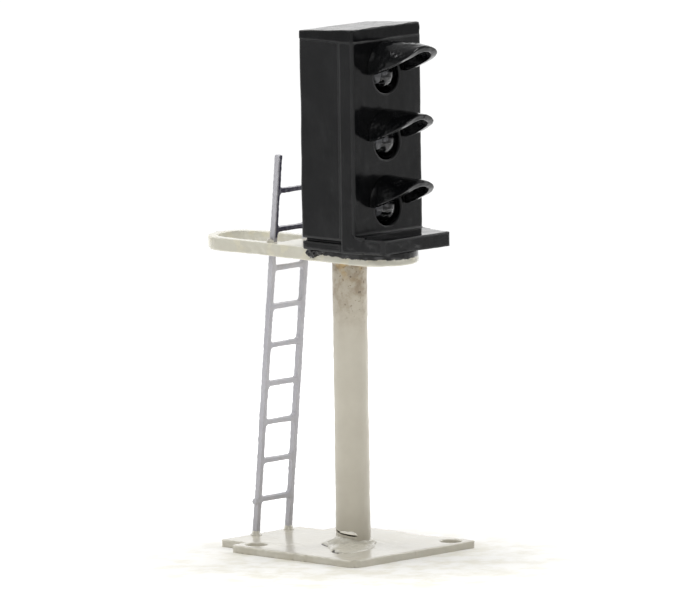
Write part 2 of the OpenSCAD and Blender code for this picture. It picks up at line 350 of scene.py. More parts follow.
@dataclass(frozen=True)
class BlackEnamel(Finish):
    """Gloss black brushed on thick: it pools in corners, thins on edges and catches dust."""

    gloss: float = 0.09
    dust: float = 0.09
    edge_rough: float = 0.0
    ior: float = 1.46
    film: float = 0.0

    def paint(self, graph: Graph, shader: bpy.types.ShaderNodeBsdfPrincipled) -> None:
        """Fills in the shader."""
        place = graph.place()
        patches = graph.cloud(place, 2.6, 3.0)
        strokes = graph.cloud(graph.stretch(place, 1.0, 1.0, 0.22), 0.55, 4.0, 0.6)
        peel = graph.cloud(place, 0.42, 2.0, 0.5)
        edge = graph.attribute("edge")
        level = graph.attribute("up").ramp(0.5, 0.9)
        ragged = graph.cloud(place, 0.35, 3.0).ramp(0.58, 0.7)
        worn = edge.ramp(0.6, 1.5) * ragged * (1 - self.edge_rough)
        large = graph.specks(place, 3.1, 0.035, self.dust * 2)
        specks = graph.specks(place, 1.5, 0.07, self.dust).at_least(large)
        body = graph.mix(patches.ramp(0.35, 0.7), BLACK_THICK, BLACK_THIN)
        thin = graph.mix(worn * 0.2, body, BLACK_WORN)
        brown = self.film * graph.cloud(place, 1.8, 3.0).ramp(0.5, 0.68) * level
        dirt_and_shade = graph.mix(brown, thin, BROWN_FILM)
        chipped = graph.mix(graph.attribute("chip").ramp(0.35, 0.6), dirt_and_shade, CHIPPED)
        dusty = graph.mix(specks, chipped, DUST)
        corner = edge.magnitude().ramp(0.15, 0.5) * self.edge_rough
        uneven = 0.07 * patches + 0.07 * strokes.ramp(0.45, 0.75)
        rough = self.gloss + uneven + 0.3 * specks + corner + level * (self.film * 0.12)
        bump = relief(graph, 0.7 * peel + 0.3 * strokes + 0.5 * specks, 0.010, 0.5)
        sockets = {"Base Color": dusty, "Roughness": rough, "Normal": bump, "IOR": self.ior}
        graph.feed(shader, sockets)


@dataclass(frozen=True)
class GreyEnamel(Finish):
    """Satin grey over brass, with strokes, painted shade in the concave corners, painted highlights
    on the convex edges and a few dark specks.
    """

    body: tuple[float, float, float] = (0.56, 0.535, 0.47)
    shade: tuple[float, float, float] = (0.47, 0.44, 0.375)
    gloss: float = 0.24
    speck_share: float = 0.05
    cream: float = 0.0
    # how much painted highlight the convex edges get
    edge_highlight_share: float = 1.0

    def overlay(self, graph: Graph, place: Wire, colour: Wire) -> Wire:
        """What lies on the grey; nothing unless a finish adds it."""
        return colour

    def paint(self, graph: Graph, shader: bpy.types.ShaderNodeBsdfPrincipled) -> None:
        """Fills in the shader."""
        place = graph.place()
        patches = graph.cloud(place, 3.2, 4.0, 0.6)
        strokes = graph.cloud(graph.stretch(place, 1.0, 1.0, 0.18), 0.5, 4.0, 0.6)
        peel = graph.cloud(place, 0.38, 2.0, 0.5)
        cream = graph.cloud(place, 1.6, 3.0).ramp(0.5, 0.62) * self.cream
        edge = graph.attribute("edge")
        # painted shade: concave corners are darkened towards a dark copy of the shade tone
        corner_shade = edge.ramp(-0.35, -1.3)
        specks = graph.specks(place, 1.35, 0.05, self.speck_share)
        dark = tint(*(0.55 * c for c in self.shade))
        streaks = 0.55 * patches.ramp(0.3, 0.7) + 0.2 * strokes
        mottled = graph.mix(streaks, tint(*self.body), tint(*self.shade))
        creamy = graph.mix(cream, mottled, CREAM)
        dirt_and_shade = graph.mix(0.45 * corner_shade, creamy, dark)
        speckled = graph.mix(0.9 * specks, dirt_and_shade, SPECK)
        # painted shade: the puddle's creases and the mast's nick are darkened almost to black
        recess_shade = graph.attribute("recess_shade").ramp(0.22, 0.6)
        # painted highlight: convex edges are lightened towards a brighter copy of the body colour
        rim = edge.ramp(0.45, 1.1) * (0.35 + 0.5 * patches) * self.edge_highlight_share
        edge_highlighted = graph.mix(rim, speckled, tint(*(1.28 * c for c in self.body)))
        rough = self.gloss + 0.10 * patches + 0.08 * strokes + 0.25 * specks
        bump = relief(graph, 0.65 * peel + 0.35 * strokes, 0.012, 0.6)
        colour = graph.mix(recess_shade, self.overlay(graph, place, edge_highlighted), RECESS_SHADE)
        graph.feed(shader, {"Base Color": colour, "Roughness": rough, "Normal": bump, "IOR": 1.5})


@dataclass(frozen=True)
class MastEnamel(GreyEnamel):
    """The grey of the mast, soiled brown by flux and darkened by painted shade below the platform,
    and darker towards its foot.
    """

    top_mm: float = 27.0

    def overlay(self, graph: Graph, place: Wire, colour: Wire) -> Wire:
        """Adds the brown bloom with painted shade near the top, its specks, and a darkening towards
        the foot.

        Args:
            graph: the material's graph.
            place: object coordinates.
            colour: the grey below.

        Returns:
            The soiled colour.
        """
        _, _, z = graph.split(place)
        high = z.ramp((self.top_mm - 8.5) * MM, (self.top_mm - 0.6) * MM)
        bloom = high * graph.cloud(place, 1.1, 4.0, 0.65).ramp(0.38, 0.68)
        grains = high.ramp(0.15, 0.8) * graph.cloud(place, 0.34, 2.0, 0.5).ramp(0.62, 0.70)
        hottest = z.ramp((self.top_mm - 2.4) * MM, (self.top_mm - 0.3) * MM)
        rust = hottest * graph.cloud(place, 1.3, 2.0).ramp(0.5, 0.66)
        # painted shade: the steady part, 0.38 of the height ramp, darkens the mast under the
        # platform; the noisy bloom is flux
        flux_and_shade = graph.mix(0.6 * bloom + 0.38 * high, colour, FLUX_AND_SHADE)
        rusted = graph.mix(0.55 * rust, flux_and_shade, RUST)
        # darker towards the bottom of the mast
        foot = z.ramp(5.0 * MM, 0.8 * MM)
        darker_at_foot = graph.mix(0.22 * foot, rusted, FOOT_DARK)
        return graph.mix(0.7 * grains, darker_at_foot, FLUX_GRAIN)


@dataclass(frozen=True)
class DeckEnamel(GreyEnamel):
    """The grey of the platform, with the head's black run over its top and upper edge."""

    deck_mm: float = 28.15
    run_mm: float = 0.55
    rear_mm: float = 1.8

    def overlay(self, graph: Graph, place: Wire, colour: Wire) -> Wire:
        """Adds the black over the front stretch.

        Args:
            graph: the material's graph.
            place: object coordinates.
            colour: the grey below.

        Returns:
            The colour with the black run on it.
        """
        _, y, z = graph.split(place)
        wander = graph.cloud(place, 0.9, 3.0, 0.6) - 0.5
        ragged = graph.cloud(place, 0.3, 2.0, 0.5) - 0.5
        deeper = 0.08 * y.ramp(1.0 * MM, -6.0 * MM)
        edge = (self.deck_mm - self.run_mm) * MM + (0.45 * wander + 0.2 * ragged - deeper) * MM
        upper = (z - edge).ramp(-0.02 * MM, 0.05 * MM)
        front = (y - 1.6 * wander * MM).ramp((self.rear_mm + 0.1) * MM, (self.rear_mm - 0.15) * MM)
        return graph.mix(upper * front, colour, BLACK_RUN)


@dataclass(frozen=True)
class LadderEnamel(GreyEnamel):
    """The pale grey of the ladder; above the platform the head's black caught its front."""

    deck_mm: float = 28.15

    def overlay(self, graph: Graph, place: Wire, colour: Wire) -> Wire:
        """Adds the dark coat to what faces the head.

        Args:
            graph: the material's graph.
            place: object coordinates.
            colour: the grey below.

        Returns:
            The colour with the dark coat on it.
        """
        x, _, z = graph.split(place)
        wander = (graph.cloud(place, 0.8, 3.0) - 0.5) * 0.5
        inner = x.magnitude().ramp(2.32 * MM, 2.12 * MM)
        front = (graph.attribute("front") + wander * 0.5).ramp(0.3, 0.6) * (0.03 + 0.97 * inner)
        above = (z + wander * MM).ramp((self.deck_mm + 0.1) * MM, (self.deck_mm + 0.5) * MM)
        return graph.mix(front * above, colour, LADDER_DARK)


@dataclass(frozen=True)
class SolderEnamel(GreyEnamel):
    """Grey paint over solder that is bare where it flaked."""

    bare: float = 0.6

    def overlay(self, graph: Graph, place: Wire, colour: Wire) -> Wire:
        """Lets pale metal through in small patches.

        Args:
            graph: the material's graph.
            place: object coordinates.
            colour: the grey below.

        Returns:
            The colour with the patches.
        """
        flaked = graph.cloud(place, 0.5, 3.0).ramp(0.62, 0.68) * self.bare
        return graph.mix(flaked, colour, PALE_SOLDER)


@dataclass(frozen=True)
class BareMetal(Finish):
    """Solder, tinned wire or filed brass, with a fine grain."""

    colour: tuple[float, float, float] = (0.70, 0.69, 0.66)
    rough: float = 0.22
    grain_mm: float = 0.12

    def paint(self, graph: Graph, shader: bpy.types.ShaderNodeBsdfPrincipled) -> None:
        """Fills in the shader."""
        place = graph.place()
        grain = graph.cloud(graph.stretch(place, 1.0, 1.0, 0.3), self.grain_mm, 4.0, 0.6)
        tarnish = graph.cloud(place, 0.8, 3.0).ramp(0.4, 0.7)
        dull = tint(*(0.6 * c for c in self.colour))
        graph.feed(shader, {
            "Base Color": graph.mix(0.5 * tarnish, tint(*self.colour), dull),
            "Metallic": 1.0,
            "Roughness": self.rough + 0.18 * grain + 0.15 * tarnish,
            "Normal": relief(graph, grain, 0.006, 0.7),
        })


@dataclass(frozen=True)
class ClearLamp(Finish):
    """Clear moulded resin, a little smoky, with the mark of its mould."""

    smoke: tuple[float, float, float] = (0.50, 0.51, 0.52)

    def paint(self, graph: Graph, shader: bpy.types.ShaderNodeBsdfPrincipled) -> None:
        """Fills in the shader."""
        place = graph.place()
        haze = graph.cloud(place, 0.9, 3.0)
        ripple = graph.cloud(place, 0.5, 2.0)
        pale = tint(*(1.2 * c for c in self.smoke))
        graph.feed(shader, {
            "Base Color": graph.mix(haze.ramp(0.3, 0.7), tint(*self.smoke), pale),
            "Roughness": 0.03 + 0.05 * haze,
            "Normal": relief(graph, ripple, 0.003, 0.4),
            "Transmission Weight": 1.0,
            "IOR": 1.52,
        })


@dataclass(frozen=True)
class PaleSheet(Finish):
    """The paper that the signal stands on: stained and given a painted shadow near the base, and a
    faint light farther out.
    """

    glow: float = 0.45
    ahead_mm: float = 8.0

    def paint(self, graph: Graph, shader: bpy.types.ShaderNodeBsdfPrincipled) -> None:
        """Fills in the shader."""
        place = graph.place()
        fibre = graph.cloud(place, 2.5, 4.0, 0.6)
        x, y, _ = graph.split(place)
        ahead_x, ahead_y = x + self.ahead_mm * MM, y + self.ahead_mm * MM
        # painted shadow: the paper in front of the base is darkened, mixed with real warm stains
        near = (ahead_x * ahead_x + ahead_y * ahead_y).ramp((30 * MM) ** 2, (6 * MM) ** 2)
        stain_and_shadow = near * (0.35 + 0.65 * graph.cloud(place, 3.5, 4.0, 0.65).ramp(0.4, 0.66))
        away = graph.length(place).ramp(9 * MM, 42 * MM)
        graph.feed(shader, {
            "Base Color": graph.mix(0.9 * stain_and_shadow, PAPER_WHITE, PAPER_STAIN_AND_SHADOW),
            "Emission Color": graph.mix(away, UNLIT, WHITE),
            "Emission Strength": self.glow,
            "Roughness": 0.6 + 0.15 * fibre,
            "Normal": relief(graph, fibre, 0.01, 0.2),
        })


BLACK = BlackEnamel("head_black", "black_paint", edge_rough=0.4)
HOOD_BLACK = BlackEnamel("hood_black", "black_paint", gloss=0.12)
ROOF_BLACK = BlackEnamel(
    "roof_black", "black_paint", gloss=0.12, edge_rough=0.2, ior=1.34, film=0.5
)
BLACK_LUMPY = BlackEnamel("bead_black", "black_paint", gloss=0.16, dust=0.12)
BASE_GREY = GreyEnamel(
    "base_grey", "grey_paint", (0.56, 0.535, 0.46), (0.51, 0.48, 0.405), 0.13, 0.035
)
MAST_GREY = MastEnamel(
    "mast_grey", "mast_paint", (0.56, 0.525, 0.44), (0.50, 0.465, 0.385), 0.27, 0.06
)
DECK_GREY = DeckEnamel(
    "deck_grey", "grey_paint", (0.60, 0.585, 0.50), (0.50, 0.475, 0.39), 0.14, 0.05, 0.5,
    deck_mm=float(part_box("platform")[1][2] / MM),
)
LADDER_GREY = LadderEnamel(
    "ladder_grey", "ladder_paint", (0.47, 0.465, 0.49), (0.39, 0.385, 0.42), 0.26, 0.02
)
SOLDER_GREY = SolderEnamel(
    "solder_grey", "painted_solder", (0.59, 0.565, 0.485), (0.53, 0.505, 0.425), 0.16, 0.03,
    edge_highlight_share=0.0,
)
# pale bare solder, its diffuse colour raised to a painted reflection of the lights
BARE_SOLDER_SHEEN = GreyEnamel(
    "bare_solder_sheen", "painted_solder", (0.90, 0.87, 0.79), (0.80, 0.76, 0.66), 0.12, 0.0
)
TINNED = BareMetal("tinned_copper", "tinned_wire")
CUP_METAL = BareMetal("cup_metal", "tinned_wire", (0.22, 0.22, 0.23), 0.25)
LENS = ClearLamp("clear_resin", "lamp_clear")
PAPER = PaleSheet("paper", "paper")


# ------------------------------------------------------------- mesh workshop


def ripple(points: Array, wave_mm: float, seed: int, waves: int = 28) -> Array:
    """A smooth random field, the same on each run, as a sum of plane waves.

    Args:
        points: n by 3 places in millimetres.
        wave_mm: the typical wavelength.
        seed: chooses the field.
        waves: how many waves are summed.

    Returns:
        n values whose spread is about 1.
    """
    dice = np.random.default_rng(seed)
    ways = dice.normal(size=(waves, 3))
    ways /= np.linalg.norm(ways, axis=1, keepdims=True)
    rates = 2 * math.pi / (wave_mm * dice.uniform(0.7, 1.6, waves))
    turns = dice.uniform(0, 2 * math.pi, waves)
    return np.sin(points @ (ways * rates[:, None]).T + turns).sum(axis=1) * math.sqrt(2 / waves)


def points_of(mesh: bpy.types.Mesh) -> Array:
    """The places of a mesh's points."""
    flat = np.empty(len(mesh.vertices) * 3)
    mesh.vertices.foreach_get("co", flat)
    return flat.reshape(-1, 3)


def normals_of(mesh: bpy.types.Mesh) -> Array:
    """The normals at a mesh's points."""
    flat = np.empty(len(mesh.vertices) * 3, np.float32)
    mesh.vertex_normals.foreach_get("vector", flat)
    return flat.reshape(-1, 3).astype(float)


def move_points(mesh: bpy.types.Mesh, places: Array) -> None:
    """Puts a mesh's points in new places."""
    mesh.vertices.foreach_set("co", places.astype(np.float32).ravel())
    mesh.update()


def store(mesh: bpy.types.Mesh, name: str, values: Array) -> None:
    """Stores a number on each point of a mesh, for its finish to read."""
    layer = mesh.attributes.get(name) or mesh.attributes.new(name, "FLOAT", "POINT")
    layer.data.foreach_set("value", values.astype(np.float32))


def build(points: Array, faces: Sequence[Sequence[int]], name: str = "blank") -> bpy.types.Mesh:
    """A mesh from points in millimetres and faces."""
    mesh = bpy.data.meshes.new(name)
    mesh.from_pydata([tuple(p) for p in points], [], [tuple(f) for f in faces])
    mesh.update()
    return mesh


def repaired(
    mesh: bpy.types.Mesh, merge_mm: float = MERGE_MM, turn: bool = True
) -> bpy.types.Mesh:
    """Merges doubled points and, unless turn is off, points every face outwards."""
    work = bmesh.new()
    work.from_mesh(mesh)
    bmesh.ops.remove_doubles(work, verts=work.verts, dist=merge_mm)
    if turn:
        bmesh.ops.recalc_face_normals(work, faces=work.faces)
    work.to_mesh(mesh)
    work.free()
    mesh.update()
    return mesh


def joined(meshes: Sequence[bpy.types.Mesh]) -> bpy.types.Mesh:
    """One mesh from several."""
    work = bmesh.new()
    for mesh in meshes:
        work.from_mesh(mesh)
    whole = bpy.data.meshes.new("joined")
    work.to_mesh(whole)
    work.free()
    return whole


def cad_copy(node: str) -> bpy.types.Mesh:
    """A copy of a CAD node's mesh in millimetres, with its loose triangles merged."""
    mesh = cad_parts[node].data.copy()
    mesh.materials.clear()
    mesh.transform(Matrix.Scale(1 / MM, 4))
    return repaired(mesh, turn=False)


def box_mm(node: str) -> tuple[Array, Array]:
    """The lowest and highest corner of a CAD node, in millimetres."""
    low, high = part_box(node)
    return np.array(low) / MM, np.array(high) / MM


def grid_faces(
    rows: int, columns: int, wrap_rows: bool = False, wrap_columns: bool = False
) -> list[tuple[int, ...]]:
    """Quads over a grid of points.

    Args:
        rows: number of rows.
        columns: number of points in each row.
        wrap_rows: whether the last row joins the first.
        wrap_columns: whether each row closes on itself.

    Returns:
        The faces.
    """
    faces = []
    for i in range(rows if wrap_rows else rows - 1):
        for j in range(columns if wrap_columns else columns - 1):
            a, b = i * columns, (i + 1) % rows * columns
            k = (j + 1) % columns
            faces.append((a + j, a + k, b + k, b + j))
    return faces


def lathe(profile: Sequence[tuple[float, float]], around: int, closed: bool) -> bpy.types.Mesh:
    """Turns a profile about Z.

    Args:
        profile: (radius, height) points in millimetres, from the bottom up on the outside.
        around: number of points in each ring.
        closed: whether the profile is a loop, as on a tube, or starts and ends on the axis.

    Returns:
        The mesh, with its faces outwards.
    """
    turns = np.linspace(0, 2 * math.pi, around, endpoint=False)
    rings = [
        np.column_stack([r * np.cos(turns), r * np.sin(turns), np.full(around, z)])
        for r, z in profile
    ]
    return repaired(build(np.vstack(rings), grid_faces(len(profile), around, closed, True)))


def rod(radius: float, length: float) -> bpy.types.Mesh:
    """A round rod that stands on the origin."""
    return lathe([(AXIS_R, 0.0), (radius, 0.0), (radius, length), (AXIS_R, length)], 16, False)


def bead(middle: Vector, radius: float, seed: int) -> bpy.types.Mesh:
    """One lumpy bead of solder or glue."""
    steps = np.linspace(0, math.pi, 22)
    ball = lathe([(radius * math.sin(s), -radius * math.cos(s)) for s in steps], 36, False)
    places = points_of(ball)
    places *= (1 + 0.12 * ripple(places, 0.6, seed))[:, None]
    move_points(ball, places + np.array(middle))
    return ball


def forwards(place: Sequence[float]) -> Matrix:
    """Carries a turned shape to a place and points its axis the way the lamps face."""
    return Matrix.Translation(place) @ Matrix.Rotation(QUARTER, 4, "X")


def eased(places: Array, corner: Sequence[float], outward: Sequence[float], radius: float) -> Array:
    """Rounds off a square corner.

    Args:
        places: points in millimetres.
        corner: where the corner is.
        outward: for each axis 1 or -1 towards the outside, or 0 for an axis along the edge.
        radius: the radius that the corner gets.

    Returns:
        The points, with those beyond the arc brought back to it.
    """
    signs = np.array(outward, float)
    past = (places - np.array(corner, float)) * signs + radius
    inside = np.where(signs == 0, 0.0, np.maximum(past, 0.0))
    both = (np.where(signs == 0, 1.0, past) > 0).all(axis=1)
    reach = np.linalg.norm(inside, axis=1)
    share = np.where(both & (reach > radius), radius / np.maximum(reach, 1e-9), 1.0)
    return places + (inside * (share - 1)[:, None]) * signs


def edge_measure(mesh: bpy.types.Mesh, passes: int = 3) -> Array:
    """How sharply the surface bends at each point: above 0 on an edge, below 0 in a corner."""
    places, normals = points_of(mesh), normals_of(mesh)
    pairs = np.empty(len(mesh.edges) * 2, np.int64)
    mesh.edges.foreach_get("vertices", pairs)
    a, b = pairs.reshape(-1, 2).T
    count = np.bincount(a, minlength=len(places)) + np.bincount(b, minlength=len(places))
    count = np.maximum(count, 1)
    run = places[b] - places[a]
    length = np.maximum(np.linalg.norm(run, axis=1), 1e-6)
    fall_a = -(run * normals[a]).sum(1) / length
    fall_b = (run * normals[b]).sum(1) / length
    bend = (np.bincount(a, fall_a, len(places)) + np.bincount(b, fall_b, len(places))) / count
    for _ in range(passes):
        bend = (np.bincount(a, bend[b], len(places)) + np.bincount(b, bend[a], len(places))) / count
    spread = np.abs(bend).max() or 1.0
    return bend / max(0.12, 0.35 * spread)


def mark_edges(mesh: bpy.types.Mesh) -> None:
    """Stores the edge measure, for the finish to read."""
    store(mesh, "edge", edge_measure(mesh))


def put(name: str, data: Any) -> bpy.types.Object:
    """Puts an object with this data into the scene."""
    made = bpy.data.objects.new(name, data)
    bpy.context.scene.collection.objects.link(made)
    return made


def settled(holder: bpy.types.Object) -> bpy.types.Mesh:
    """The plain mesh that an object's modifiers give; the object goes."""
    graph = bpy.context.evaluated_depsgraph_get()
    mesh = bpy.data.meshes.new_from_object(holder.evaluated_get(graph), depsgraph=graph)
    holder.modifiers.clear()
    bpy.data.objects.remove(holder)
    return mesh


@dataclass(frozen=True)
class PaintCoat:
    """How paint lies on a piece: a fine skin with rounded corners, waves and lumps."""

    skin_mm: float = 0.1
    rounds: int = 4
    wave: float = 0.012
    wave_mm: float = 3.0
    lump: float = 0.008
    lump_mm: float = 0.7
    seed: int = 1

    def lay(
        self,
        mesh: bpy.types.Mesh,
        low: Array,
        high: Array,
        extra: Callable[[Array, Array], Array] | None = None,
    ) -> bpy.types.Mesh:
        """Lays the coat on a closed mesh.

        Args:
            mesh: the bare piece, in millimetres.
            low: the lowest corner that the coat may reach.
            high: the highest corner.
            extra: moves of its own, from places and normals.

        Returns:
            The coated mesh.
        """
        holder = put("bare", mesh)
        skin = holder.modifiers.new("skin", "REMESH")
        skin.mode = "VOXEL"
        skin.voxel_size = self.skin_mm
        skin.use_smooth_shade = True
        soften = holder.modifiers.new("soften", "SMOOTH")
        soften.factor = 0.5
        soften.iterations = self.rounds
        coated = settled(holder)
        places, normals = points_of(coated), normals_of(coated)
        rise = self.wave * ripple(places, self.wave_mm, self.seed)
        rise += self.lump * ripple(places, self.lump_mm, self.seed + LUMP_SEED)
        places = places + normals * rise[:, None]
        if extra is not None:
            places = places + extra(places, normals)
        move_points(coated, np.clip(places, low, high))
        mark_edges(coated)
        return coated


def show(mesh: bpy.types.Mesh, name: str, finish: Finish, *nodes: str) -> bpy.types.Object:
    """Puts a finished mesh into the scene as a piece of the signal.

    Args:
        mesh: the mesh in millimetres.
        name: the piece's name.
        finish: its finish.
        nodes: the CAD nodes that it stands for.

    Returns:
        The object.
    """
    mesh.name = name
    mesh.transform(Matrix.Scale(MM, 4))
    mesh.materials.clear()
    mesh.materials.append(finish.material())
    mesh.polygons.foreach_set("use_smooth", [True] * len(mesh.polygons))
    piece = put(name, mesh)
    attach(piece, ROOT)
    if nodes:
        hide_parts(*nodes)
    LOG.info("%s: %d faces", name, len(mesh.polygons))
    return piece


def dress(node: str, finish: Finish) -> None:
    """Gives a CAD node that keeps its own shape a finish."""
    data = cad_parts[node].data
    data.materials.clear()
    data.materials.append(finish.material())
    LOG.info("%s: keeps its CAD shape", node)


# --------------------------------------------------------------- sub-assemblies


@dataclass
class Base:
    """The square base with its tab, and the solder that ran over it."""

    coat: PaintCoat = PaintCoat(0.09, 2, 0.012, 4.0, 0.007, 0.8, 11)
    dent_mm: float = 0.05
    film: float = 0.24
    around: int = 420
    rings: int = 70
    outline: tuple[tuple[float, float], ...] = (
        (0, 1.95), (60, 2.0), (110, 2.2), (136, 2.75), (148, 3.05), (165, 3.1), (180, 3.4),
        (196, 4.2), (202, 5.9), (208, 6.85), (214, 7.1), (219, 6.9), (228, 5.6), (240, 4.6),
        (252, 3.6), (268, 2.7), (290, 2.15), (320, 2.1), (360, 1.95),
    )
    collar: tuple[tuple[float, float], ...] = (
        (0, 0.22), (100, 0.3), (135, 0.4), (155, 0.45), (185, 0.42), (215, 0.28), (240, 0.1),
        (262, 0.1), (290, 0.16), (308, 0.5), (322, 0.52), (340, 0.25), (360, 0.22),
    )
    creases: tuple[tuple[tuple[float, float], ...], ...] = (
        ((-2.5, 1.62), (-2.9, 1.15), (-3.2, 0.6), (-3.42, 0.05)),
        ((-5.0, -2.3), (-5.55, -2.65), (-5.78, -3.15), (-5.45, -3.65)),
    )

    def build_plate(self) -> None:
        """The plate, with edges that droop and three corners that are worn round."""
        low, high = box_mm("base_plate")
        size = high[:2].min()
        corners = ((low[0], low[1], 0.9), (high[0], low[1], 0.3), (low[0], -low[1], 0.35))

        def droop(places: Array, _: Array) -> Array:
            """Lets the thin edges wander a little."""
            reach = np.maximum(np.abs(places[:, 0]), -places[:, 1]) / size
            fall = np.clip(reach - 0.9, 0, 1) * 10
            moves = np.zeros_like(places)
            moves[:, 2] = -self.dent_mm * fall * (0.6 + 0.5 * ripple(places, 5.0, 19))
            moves[places[:, 2] < low[2] + 0.15, 2] = 0
            moved = places + moves
            for x, y, radius in corners:
                moved = eased(moved, (x, y, 0), (np.sign(x), np.sign(y), 0), radius)
            sides = np.clip(reach - 0.96, 0, 0.04) * 25
            ragged = 0.03 * sides * (1 + ripple(places, 0.9, 21))
            moved[:, :2] -= np.sign(places[:, :2]) * ragged[:, None]
            return moved - places

        plate = self.coat.lay(cad_copy("base_plate"), low, high, droop)
        show(plate, "base_plate_painted", BASE_GREY, "base_plate")

    def crease_share(self, ground: Array) -> Array:
        """How deep in a crease each place on the ground lies, from 0 to 1."""
        share = np.zeros(len(ground))
        for line in self.creases:
            for k, (start, end) in enumerate(zip(line, line[1:])):
                a, way = np.array(start), np.array(end) - np.array(start)
                t = np.clip((ground - a) @ way / (way @ way), 0, 1)
                off = np.linalg.norm(ground - a - t[:, None] * way, axis=1)
                whole = (k + t) / (len(line) - 1)
                width = 0.09 + 0.12 * np.sin(math.pi * np.clip(whole, 0.04, 0.96))
                share = np.maximum(share, np.exp(-((off / width) ** 2)))
        return share

    def build_puddle(self) -> None:
        """The collar and the film of solder as one height over the plate, creased at its rim."""
        floor = box_mm("base_plate")[1][2]
        mast_r = box_mm("mast_tube")[1][0]
        turns = np.linspace(0, 2 * math.pi, self.around, endpoint=False)
        degrees = np.degrees(turns)
        ring = np.column_stack([3 * np.cos(turns), 3 * np.sin(turns), 0 * turns])
        reach = np.interp(degrees, *zip(*self.outline)) + 0.07 * ripple(ring, 1.5, 23)
        tall = np.interp(degrees, *zip(*self.collar))
        for _ in range(6):
            reach = (np.roll(reach, 3) + reach + np.roll(reach, -3)) / 3
            tall = (np.roll(tall, 3) + tall + np.roll(tall, -3)) / 3
        shares = np.linspace(0, 1, self.rings) ** 1.15
        radius = (mast_r - SINK + (reach[None, :] - mast_r + SINK) * shares[:, None]).ravel()
        around = np.tile(turns, self.rings)
        top = np.column_stack([radius * np.cos(around), radius * np.sin(around)])
        share = np.repeat(shares, self.around)
        tall, wide = np.tile(tall, self.rings), np.tile(reach - mast_r, self.rings)
        high = np.column_stack([top, np.zeros(len(top))])
        mound = self.film * np.clip(wide / 1.6, 0.25, 1) * (1 - share**8)
        lumps = 0.05 * ripple(high, 1.5, 29) + 0.018 * ripple(high, 0.5, 31)
        lumps = lumps * np.clip(wide, 0, 1) * (1 - share**4)
        climb = tall * np.exp(-(radius - mast_r) / (0.12 + 0.42 * tall))
        crease = self.crease_share(top)
        height = climb * (1 - share**4) + mound + lumps - 0.26 * crease * (share < 0.97)
        height = np.maximum(height, 0.015)
        height[share > 0.999] = -BELOW
        high[:, 2] = floor + height
        inner = high[: self.around].copy()
        inner[:, 2] = floor - BELOW
        shell = np.vstack([high, inner])
        mesh = build(shell, grid_faces(self.rings + 1, self.around, True, True))
        # painted shade: the crease share darkens the creases
        store(mesh, "recess_shade", np.concatenate([crease, np.zeros(self.around)]))
        mesh = repaired(mesh, 0.0002)
        mark_edges(mesh)
        show(mesh, "mast_foot_puddle", SOLDER_GREY, "mast_foot_solder")


